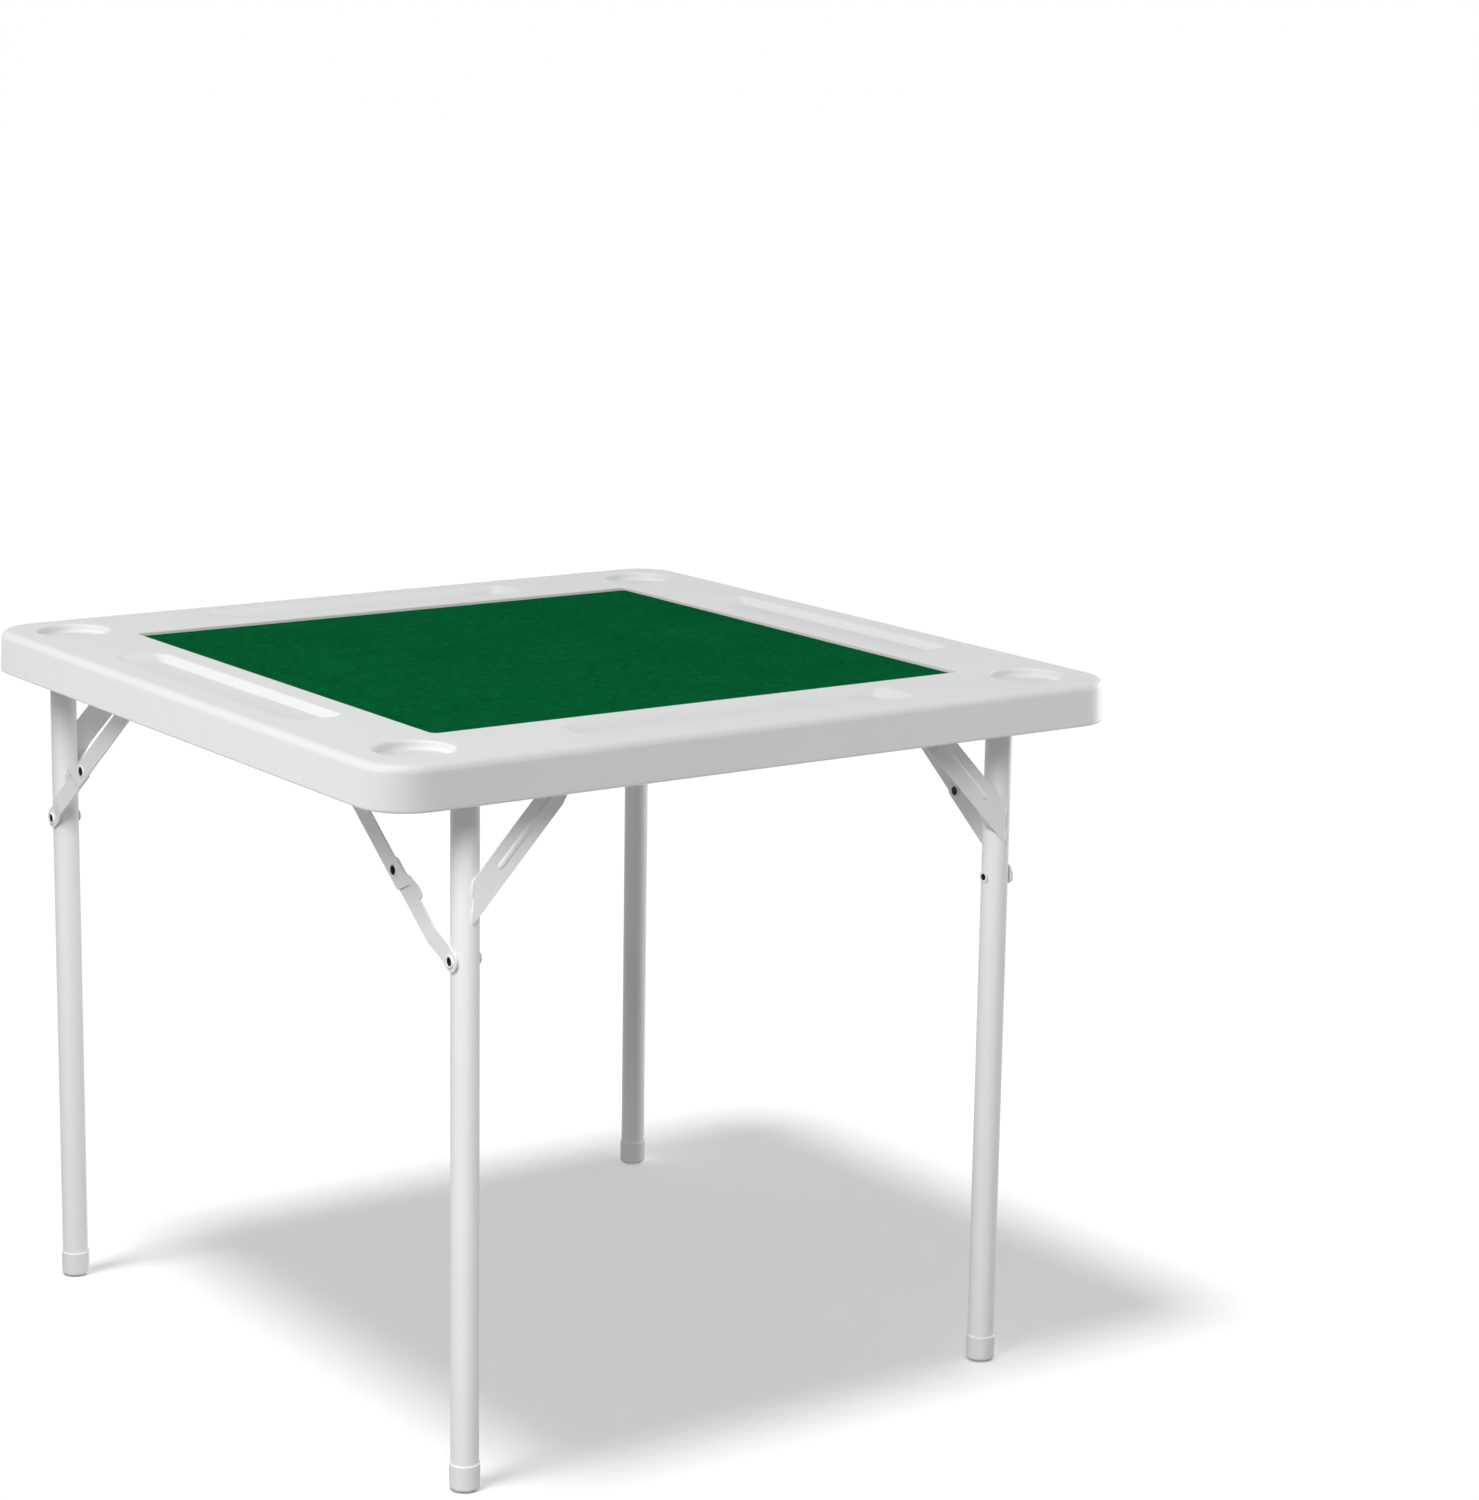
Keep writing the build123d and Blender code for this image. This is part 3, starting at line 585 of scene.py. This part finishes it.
class Bench:
    """Small helpers for modelling by operators, as by hand."""

    @staticmethod
    def clear() -> None:
        """Deselect everything, because an operator acts on all that is selected."""
        for item in bpy.context.selected_objects:
            item.select_set(False)

    @staticmethod
    def pick(piece: bpy.types.Object) -> None:
        """Select one piece alone and make it the active one."""
        Bench.clear()
        piece.select_set(True)
        bpy.context.view_layer.objects.active = piece

    @staticmethod
    def take(name: str) -> bpy.types.Object:
        """Name the primitive that was just added.

        Args:
            name: The name for its object and mesh.

        Returns:
            The primitive.
        """
        piece = bpy.context.active_object
        piece.name = name
        piece.data.name = name
        return piece

    @staticmethod
    def edit(piece: bpy.types.Object, wanted: Callable[[Vector], bool]) -> None:
        """Go into edit mode with some corners selected.

        Args:
            piece: The active piece.
            wanted: Says of a corner's place whether it is selected.
        """
        bpy.ops.object.mode_set(mode="EDIT")
        bpy.ops.mesh.select_mode(type="VERT")
        bpy.ops.mesh.select_all(action="DESELECT")
        bpy.ops.object.mode_set(mode="OBJECT")
        for corner in piece.data.vertices:
            corner.select = wanted(corner.co)
        bpy.ops.object.mode_set(mode="EDIT")

    @staticmethod
    def apply(piece: bpy.types.Object, kind: str, **settings: object) -> None:
        """Add a modifier to a piece, set it up and apply it.

        Args:
            piece: The piece.
            kind: The modifier's type.
            settings: The modifier's attributes.
        """
        Bench.pick(piece)
        modifier = piece.modifiers.new(kind.lower(), kind)
        for key, value in settings.items():
            setattr(modifier, key, value)
        bpy.ops.object.modifier_apply(modifier=modifier.name)

    @staticmethod
    def settle(piece: bpy.types.Object) -> None:
        """Put a piece's place into its mesh, so that its object sits at the origin."""
        Bench.pick(piece)
        bpy.ops.object.transform_apply(location=True, rotation=True, scale=True)

    @staticmethod
    def copy(model: bpy.types.Object, name: str, turn: Matrix, place: Vector) -> bpy.types.Object:
        """Copy a model with its own mesh, turned and put in its place.

        Args:
            model: The piece that was modelled at the origin.
            name: The copy's name.
            turn: Its rotation about the origin.
            place: Where its origin goes.

        Returns:
            The copy.
        """
        piece = bpy.data.objects.new(name, model.data.copy())
        piece.data.name = name
        piece.data.transform(Matrix.Translation(place) @ turn)
        bpy.context.scene.collection.objects.link(piece)
        return piece

    @staticmethod
    def lamp(name: str, kind: str, energy: float, direction: Vector) -> bpy.types.Object:
        """Add a lamp.

        Args:
            name: The lamp's name.
            kind: Its type.
            energy: Its energy, in its type's unit.
            direction: Where it shines.

        Returns:
            The lamp, at the origin.
        """
        data = bpy.data.lights.new(name, kind)
        data.energy = energy
        lamp = bpy.data.objects.new(name, data)
        lamp.rotation_euler = direction.to_track_quat("-Z", "Y").to_euler()
        bpy.context.scene.collection.objects.link(lamp)
        return lamp


@dataclass(frozen=True)
class RolledRim:
    """The rolled rim of a tubular rivet: a flattened ring round the X axis.

    Attributes:
        radius: The ring's outer radius.
        wire_radius: Half the ring's width.
        flatness: The ring's thickness as a share of its width.
        wire_sides: How many sides the ring's section has.
        steps: How many sides the ring has round its axis.
        seat: How far the ring's middle lies inside the face that it is rolled onto.
    """

    radius: float
    wire_radius: float
    flatness: float = 0.75
    wire_sides: int = 12
    steps: int = 40
    seat: float = 0.15 * MM

    @property
    def bore_radius(self) -> float:
        """The radius of the ring's opening, inside which shade is painted black on the rivet."""
        return self.radius - 2 * self.wire_radius

    def model(self) -> bpy.types.Object:
        """Model the ring at the origin: a small circle, flattened and spun.

        Returns:
            The ring, to be copied.
        """
        middle = (0, self.radius - self.wire_radius, 0)
        Bench.clear()
        bpy.ops.mesh.primitive_circle_add(vertices=self.wire_sides, radius=self.wire_radius, location=middle)
        ring = Bench.take("rim_model")
        bpy.ops.object.mode_set(mode="EDIT")
        bpy.ops.mesh.select_all(action="SELECT")
        bpy.ops.transform.resize(value=(self.flatness, 1, 1), center_override=middle)
        bpy.ops.mesh.spin(steps=self.steps, angle=math.tau, center=(0, 0, 0), axis=(1, 0, 0))
        bpy.ops.mesh.select_all(action="SELECT")
        bpy.ops.mesh.remove_doubles(threshold=MERGE_DISTANCE)
        bpy.ops.mesh.normals_make_consistent(inside=False)
        bpy.ops.object.mode_set(mode="OBJECT")
        Bench.settle(ring)
        bpy.ops.object.shade_smooth()
        return ring


@dataclass(frozen=True)
class WeldBead:
    """A short weld bead along the X axis, with the ripples that a torch leaves.

    Attributes:
        length: The bead's length.
        radius: Half its width.
        ripples: How many ripples it has.
        ripple_depth: How far it is drawn in between two ripples, as a share of its radius.
        sides: How many sides it has round its axis.
        level_digits: To how many digits the heights of one ring's corners agree.
    """

    length: float
    radius: float = 1.7 * MM
    ripples: int = 7
    ripple_depth: float = 0.2
    sides: int = 14
    level_digits: int = 4

    def _level(self, corner: Vector) -> float:
        """Return the height of the ring that a corner is on."""
        return round(corner.z, self.level_digits)

    def model(self) -> bpy.types.Object:
        """Model the bead at the origin: a ball drawn out long, with every other ring drawn in.

        Returns:
            The bead, to be copied.
        """
        Bench.clear()
        bpy.ops.mesh.primitive_uv_sphere_add(segments=self.sides, ring_count=2 * self.ripples + 2, radius=1)
        bead = Bench.take("bead_model")
        levels = sorted({self._level(corner.co) for corner in bead.data.vertices})
        first = 2
        drawn_in = set(levels[first:-first:2])
        Bench.edit(bead, lambda corner: self._level(corner) in drawn_in)
        inward = 1 - self.ripple_depth
        bpy.ops.transform.resize(value=(inward, inward, 1), center_override=(0, 0, 0))
        bpy.ops.mesh.select_all(action="SELECT")
        bpy.ops.transform.rotate(value=math.pi / 2, orient_axis="Y", center_override=(0, 0, 0))
        size = (self.length / 2, self.radius, self.radius)
        bpy.ops.transform.resize(value=size, center_override=(0, 0, 0))
        bpy.ops.object.mode_set(mode="OBJECT")
        Bench.settle(bead)
        bpy.ops.object.shade_smooth()
        return bead


@dataclass
class MouldedTop:
    """The moulded top with its rails, brackets, clip and screws, and the playing cloth on it."""

    shelf: FinishShelf
    cloth_round: float = 0.5 * MM
    cloth_round_steps: int = 2
    cloth_cuts: int = 60
    pieces: list[str] = field(default_factory=list)

    def dress_nodes(self) -> None:
        """Finish the nodes that stay as the frame has them."""
        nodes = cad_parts
        self.shelf.put(nodes["tabletop"], self.shelf.plastic)
        self.shelf.put(nodes["leg_clip"], self.shelf.clip)
        self.shelf.put(nodes["rail_screws"], self.shelf.zinc)
        for side in Side:
            self.shelf.put(nodes[f"rail_{side.label}"], self.shelf.coat)
            self.shelf.put(nodes[f"stay_bracket_{side.label}"], self.shelf.coat)

    def dress_rivets(self) -> None:
        """Finish the four rivets at the tops of the stays, which share one node and two axes."""
        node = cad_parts["stay_top_rivets"]
        low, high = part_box("stay_top_rivets")
        middle = (low.y + high.y) / 2
        axes = []
        for end in End:
            corners = [v.co for v in node.data.vertices if (v.co.y - middle) * end.value > 0]
            spans = ([c.y for c in corners], [c.z for c in corners])
            axes.append(tuple((min(span) + max(span)) / 2 for span in spans))
        # Painted shade: these rivets are painted black in their hollows.
        self.shelf.put(node, RivetSteel("rivet_stay_top", tuple(axes)).make())

    def lay_cloth(self) -> None:
        """Lay the playing cloth in its recess, with a softly rounded cut edge."""
        low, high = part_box("felt")
        size = high - low
        Bench.clear()
        bpy.ops.mesh.primitive_grid_add(
            x_subdivisions=self.cloth_cuts,
            y_subdivisions=self.cloth_cuts,
            size=1,
            location=((low.x + high.x) / 2, (low.y + high.y) / 2, low.z),
        )
        cloth = Bench.take("playing_cloth")
        cloth.scale = (size.x, size.y, 1)
        Bench.settle(cloth)
        Bench.apply(cloth, "SOLIDIFY", thickness=size.z, offset=1)
        Bench.apply(
            cloth, "BEVEL", width=self.cloth_round, segments=self.cloth_round_steps, limit_method="ANGLE"
        )
        self.shelf.put(cloth, self.shelf.felt)
        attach(cloth, "top")
        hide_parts("felt")
        self.pieces.append(cloth.name)

    def build(self) -> None:
        """Dress the top and lay its cloth."""
        self.dress_nodes()
        self.dress_rivets()
        self.lay_cloth()


@dataclass(frozen=True)
class RimSeat:
    """Where a rolled rim sits, on both sides of a leg frame.

    Attributes:
        kind: What the rim is called.
        rim: The rim.
        rivet: The part whose axis it lies round.
        carrier: The part onto whose face it is rolled.
        outer: Whether that face looks away from the table's middle.
        stay: The stay that it rides on, or None where it rides on the leg frame.
    """

    kind: str
    rim: RolledRim
    rivet: str
    carrier: str
    outer: bool
    stay: Optional[str] = None


@dataclass
class LegFrame:
    """One folding leg frame with its two stays, its rolled rivet rims and its weld beads.

    Attributes:
        end: Which of the two leg frames it is.
        shelf: The finishes.
        knee_rim: The rim on both ends of a stay's knee rivet.
        foot_rim: The rim on the head of a leg pivot's rivet.
        inner_rim: The rim on the tail of a leg pivot's rivet.
        foot_bead: The bead on the edge of a gusset's end at its leg.
        tube_bead: The bead on a gusset's end at the cross tube.
        bead_margin: How far inside the gusset's edges the middles of the foot beads lie.
        bead_lift: How far a bead's middle lies outside the steel.
        end_depth: How far from its outermost corner a gusset's end reaches.
        pieces: The names of the pieces that were added.
    """

    end: End
    shelf: FinishShelf
    knee_rim: RolledRim = RolledRim(6.5 * MM, 0.75 * MM, seat=0.37 * MM)
    foot_rim: RolledRim = RolledRim(6.5 * MM, 1.05 * MM)
    inner_rim: RolledRim = RolledRim(5.2 * MM, 0.8 * MM)
    foot_bead: WeldBead = WeldBead(15 * MM)
    tube_bead: WeldBead = WeldBead(22 * MM)
    bead_margin: float = 8 * MM
    bead_lift: float = 0.5 * MM
    end_depth: float = 0.5 * MM
    pieces: list[str] = field(default_factory=list)

    @property
    def body(self) -> str:
        """The frame's body."""
        return f"{self.end.label}_leg_frame"

    @property
    def rim_seats(self) -> tuple[RimSeat, ...]:
        """The rims of one side, in the order in which they are laid."""
        knee, foot = "knee_rivet", "stay_foot_rivet"
        return (
            RimSeat("knee_outer_rim", self.knee_rim, knee, knee, True, "upper_stay"),
            RimSeat("knee_inner_rim", self.knee_rim, knee, knee, False, "upper_stay"),
            RimSeat("foot_rim", self.foot_rim, foot, foot, True, "lower_stay"),
            RimSeat("leg_rivet_rim", self.inner_rim, foot, "leg", False),
        )

    def _named(self, part: str, side: Side) -> str:
        """Return the full name of a part of this frame on one side."""
        return f"{self.end.label}_{part}_{side.label}"

    def _add(self, piece: bpy.types.Object, body: str) -> None:
        """Coat a piece like the frame and let it ride on a body.

        Args:
            piece: The new piece.
            body: The body's name.
        """
        self.shelf.put(piece, self.shelf.coat)
        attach(piece, body)
        self.pieces.append(piece.name)

    def dress_rivet(self, node: str, rim: RolledRim) -> None:
        """Finish a rivet, with shade painted black inside its rim.

        Args:
            node: The rivet's node.
            rim: The rim that is rolled onto it.
        """
        low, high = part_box(node)
        axis = ((low.y + high.y) / 2, (low.z + high.z) / 2)
        # Painted shade: the rivet is painted black out to the rim's opening.
        finish = RivetSteel(f"coat_{node}", (axis,), bore_radius=rim.bore_radius)
        self.shelf.put(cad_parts[node], finish.make())

    def dress_nodes(self) -> None:
        """Finish the frame's nodes and its stays'."""
        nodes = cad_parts
        self.shelf.put(nodes[f"{self.end.label}_cross_tube"], self.shelf.coat)
        self.dress_rivet(f"{self.end.label}_leg_rivets", self.inner_rim)
        for side in Side:
            for part in ("leg", "gusset", "upper_link", "lower_link"):
                self.shelf.put(nodes[self._named(part, side)], self.shelf.coat)
            self.shelf.put(nodes[self._named("foot_cap", side)], self.shelf.cap)
            self.dress_rivet(self._named("knee_rivet", side), self.knee_rim)
            self.dress_rivet(self._named("stay_foot_rivet", side), self.foot_rim)

    def lay_rim(self, seat: RimSeat, model: bpy.types.Object, side: Side) -> None:
        """Lay one rim in its seat.

        Args:
            seat: Where it sits.
            model: The rim that is copied.
            side: The side of the table.
        """
        rivet_low, rivet_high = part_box(self._named(seat.rivet, side))
        face_low, face_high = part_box(self._named(seat.carrier, side))
        looks_right = (side is Side.RIGHT) == seat.outer
        face, outward = (face_high.x, 1) if looks_right else (face_low.x, -1)
        centre = (rivet_low + rivet_high) / 2
        place = Vector((face - outward * seat.rim.seat, centre.y, centre.z))
        rim = Bench.copy(model, self._named(seat.kind, side), Matrix.Identity(4), place)
        self._add(rim, self._named(seat.stay, side) if seat.stay else self.body)

    def roll_rims(self) -> None:
        """Lay the rolled rims, each kind modelled once."""
        models = {rim: rim.model() for rim in (self.knee_rim, self.foot_rim, self.inner_rim)}
        for side in Side:
            for seat in self.rim_seats:
                self.lay_rim(seat, models[seat.rim], side)
        for model in models.values():
            bpy.data.objects.remove(model)

    def weld_foot(self, model: bpy.types.Object, side: Side, corners: list[Vector]) -> None:
        """Lay two beads where a gusset ends on its leg, one at each of its edges.

        Args:
            model: The bead that is copied.
            side: The side of the table.
            corners: The gusset's corners.
        """
        end_x = side.value * max(side.value * c.x for c in corners)
        heights = [c.z for c in corners if abs(c.x - end_x) < self.end_depth]
        leg_low, leg_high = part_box(self._named("leg", side))
        crest = leg_low.y if self.end is End.FRONT else leg_high.y
        x = end_x + side.value * self.bead_lift
        y = crest + self.end.value * self.bead_lift
        upright = Matrix.Rotation(math.pi / 2, 4, "Y")
        levels = {"lower": min(heights) + self.bead_margin, "upper": max(heights) - self.bead_margin}
        for edge, z in levels.items():
            name = self._named(f"gusset_weld_{edge}", side)
            self._add(Bench.copy(model, name, upright, Vector((x, y, z))), self.body)

    def weld_tube(self, model: bpy.types.Object, side: Side, corners: list[Vector]) -> None:
        """Lay the bead where a gusset ends on the cross tube.

        Args:
            model: The bead that is copied.
            side: The side of the table.
            corners: The gusset's corners.
        """
        top = max(c.z for c in corners)
        end = [c for c in corners if abs(c.z - top) < self.end_depth]
        x = (min(c.x for c in end) + max(c.x for c in end)) / 2
        y = sum(c.y for c in end) / len(end)
        place = Vector((x, y, top + self.bead_lift))
        self._add(Bench.copy(model, self._named("tube_weld", side), Matrix.Identity(4), place), self.body)

    def weld(self) -> None:
        """Weld both gussets, with each kind of bead modelled once."""
        foot, tube = self.foot_bead.model(), self.tube_bead.model()
        for side in Side:
            corners = [v.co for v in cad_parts[self._named("gusset", side)].data.vertices]
            self.weld_foot(foot, side, corners)
            self.weld_tube(tube, side, corners)
        for model in (foot, tube):
            bpy.data.objects.remove(model)

    def build(self) -> None:
        """Dress the frame, roll its rims and weld its gussets."""
        self.dress_nodes()
        self.roll_rims()
        self.weld()


@dataclass(frozen=True)
class Sun:
    """One far lamp.

    Attributes:
        name: The lamp's name.
        bearing: Where it stands, in degrees from +X towards +Y.
        height: How high it stands, in degrees over the floor.
        strength: Its light, in watts per square metre.
        spread: How wide it looks, in degrees, which softens its shadows.
    """

    name: str
    bearing: float
    height: float
    strength: float
    spread: float

    def hang(self) -> None:
        """Add the lamp."""
        bearing, height = math.radians(self.bearing), math.radians(self.height)
        level = math.cos(height)
        away = Vector((math.cos(bearing) * level, math.sin(bearing) * level, math.sin(height)))
        lamp = Bench.lamp(self.name, "SUN", self.strength, -away)
        lamp.data.angle = math.radians(self.spread)


@dataclass(frozen=True)
class Softbox:
    """One large lamp near the table.

    Attributes:
        name: The lamp's name.
        place: Where it hangs, in metres.
        aim: What it points at.
        power: Its power in watts.
        width: Its side, which softens its shadows.
        reach: What it lights.
    """

    name: str
    place: Place
    aim: Place
    power: float
    width: float
    reach: Reach = Reach.TABLE

    def hang(self, unlit: list[bpy.types.Object]) -> None:
        """Add the lamp and keep its light off some objects.

        Args:
            unlit: What it doesn't light.
        """
        lamp = Bench.lamp(self.name, "AREA", self.power, Vector(self.aim) - Vector(self.place))
        lamp.location = self.place
        lamp.data.shape = "SQUARE"
        lamp.data.size = self.width
        group = bpy.data.collections.new(f"not_lit_by_{self.name}")
        for place, item in enumerate(unlit):
            group.objects.link(item)
            group.collection_objects[place].light_linking.link_state = "EXCLUDE"
        lamp.light_linking.receiver_collection = group


@dataclass(frozen=True)
class Viewpoint:
    """The camera, where the photograph was taken from.

    Attributes:
        place: Where it stands, in metres.
        yaw: Where it looks, in degrees from +Y towards +X.
        pitch: How far it looks up, in degrees.
        roll: How far it is turned about its line of sight, in degrees.
        lens: Its focal length, in millimetres.
        sensor: Its sensor's width, in millimetres.
        nearest: How near it sees, in metres.
        farthest: How far it sees, in metres.
    """

    place: Place = (-2.0425, -3.2578, 1.4321)
    yaw: float = 35.285
    pitch: float = -11.733
    roll: float = 0.922
    lens: float = 87.84
    sensor: float = 36.0
    nearest: float = 0.05
    farthest: float = 200.0

    def stand(self) -> None:
        """Add the camera and let the scene use it."""
        data = bpy.data.cameras.new("camera")
        data.lens, data.sensor_width = self.lens, self.sensor
        data.clip_start, data.clip_end = self.nearest, self.farthest
        camera = bpy.data.objects.new("camera", data)
        bpy.context.scene.collection.objects.link(camera)
        yaw, pitch, roll = (math.radians(angle) for angle in (self.yaw, self.pitch, self.roll))
        level = math.cos(pitch)
        forward = Vector((math.sin(yaw) * level, math.cos(yaw) * level, math.sin(pitch)))
        right = Vector((math.cos(yaw), -math.sin(yaw), 0))
        above = right.cross(forward)
        turned_right = right * math.cos(roll) + above * math.sin(roll)
        turned_above = above * math.cos(roll) - right * math.sin(roll)
        rotation = Matrix((turned_right, turned_above, -forward)).transposed()
        camera.matrix_world = Matrix.Translation(Vector(self.place)) @ rotation.to_4x4()
        bpy.context.scene.camera = camera


@dataclass(frozen=True)
class Studio:
    """The white floor, the soft lights and the camera.

    Attributes:
        floor_size: The floor's side, in metres.
        floor_drop: How far the floor lies under the feet.
        floor_bounce: How much of the light that falls on it the floor gives back to the table.
        floor_gain: The same for the eye, which sees the lit floor as white.
        sky: The even light from all around.
        key: The lamp that casts the shadow.
        softboxes: The lamps that light the table alone.
        viewpoint: The camera.
    """

    floor_size: float = 60.0
    floor_drop: float = 0.2 * MM
    floor_bounce: float = 0.5
    floor_gain: float = 1.78
    sky: float = 0.32
    key: Sun = Sun("key", 186.0, 74.0, 0.85, 12.0)
    softboxes: tuple[Softbox, ...] = (
        Softbox("side", (-2.6, -0.4, 1.7), (0.0, 0.0, 0.7), 41.0, 1.6, Reach.TOP),
        Softbox("front", (0.9, -3.0, 1.2), (0.0, 0.0, 0.6), 21.0, 1.2, Reach.TOP),
        Softbox("fill", (-1.8, -1.7, 2.3), (0.0, 0.0, 0.4), 65.0, 1.2, Reach.FRAMES),
        Softbox("rim", (2.6, -0.2, 0.8), (0.0, 0.0, 0.45), 25.0, 1.2),
        Softbox("under", (1.9, 1.9, -1.6), (0.0, 0.0, 0.6), 32.0, 1.0),
    )
    viewpoint: Viewpoint = Viewpoint()

    def add_floor(self) -> bpy.types.Object:
        """Lay the floor: white where it is lit, grey in the table's shadow, and clear from beneath.

        Returns:
            The floor.
        """
        Bench.clear()
        bpy.ops.mesh.primitive_plane_add(size=self.floor_size, location=(0, 0, -self.floor_drop))
        floor = Bench.take("floor")
        shader = Shader.named("floor")
        colour = shader.mix(shader.seen(), (self.floor_bounce,) * 3, (self.floor_gain,) * 3)
        matt = shader.node("ShaderNodeBsdfDiffuse", values={"Color": colour})
        clear = shader.node("ShaderNodeBsdfTransparent")
        beneath = shader.node("ShaderNodeNewGeometry", output="Backfacing")
        lighting = shader.node("ShaderNodeLightPath", output="Is Shadow Ray")
        skin = shader.node("ShaderNodeMixShader", values={0: beneath.most(lighting), 1: matt, 2: clear})
        shader.node("ShaderNodeOutputMaterial", values={"Surface": skin})
        FinishShelf.put(floor, shader.owner)
        return floor

    def add_sky(self) -> None:
        """Surround the table with even light that looks white to the camera and in reflections."""
        world = bpy.data.worlds.new("studio")
        bpy.context.scene.world = world
        shader = Shader(world)
        strength = shader.node("ShaderNodeMapRange", values={"Value": shader.seen(), "To Min": self.sky})
        light = shader.node("ShaderNodeBackground", values={"Color": (1, 1, 1), "Strength": strength})
        shader.node("ShaderNodeOutputWorld", values={"Surface": light})

    def add_lamps(self, floor: bpy.types.Object) -> None:
        """Hang the key and the softboxes, each with what it lights.

        Args:
            floor: The floor, which only the key lights.
        """
        table = [item for item in bpy.data.objects if item.type == "MESH" and item is not floor]
        top = [item for item in table if item.name in ("tabletop", "playing_cloth")]
        frames = [item for item in table if item not in top]
        unlit = {Reach.TABLE: [floor], Reach.TOP: [floor, *frames], Reach.FRAMES: [floor, *top]}
        self.key.hang()
        for softbox in self.softboxes:
            softbox.hang(unlit[softbox.reach])

    def build(self) -> None:
        """Set up the whole studio."""
        bpy.context.scene.view_settings.view_transform = "Standard"
        floor = self.add_floor()
        self.add_sky()
        self.add_lamps(floor)
        self.viewpoint.stand()


def main() -> None:
    """Build the classes in order and report each piece."""
    logging.basicConfig(level=logging.INFO, format="%(message)s")
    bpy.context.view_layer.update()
    shelf = FinishShelf()
    for part in (MouldedTop(shelf), LegFrame(End.FRONT, shelf), LegFrame(End.REAR, shelf)):
        part.build()
        for piece in part.pieces:
            log.info("%s: %s", type(part).__name__, piece)
    Studio().build()


if __name__ == "__main__":
    main()
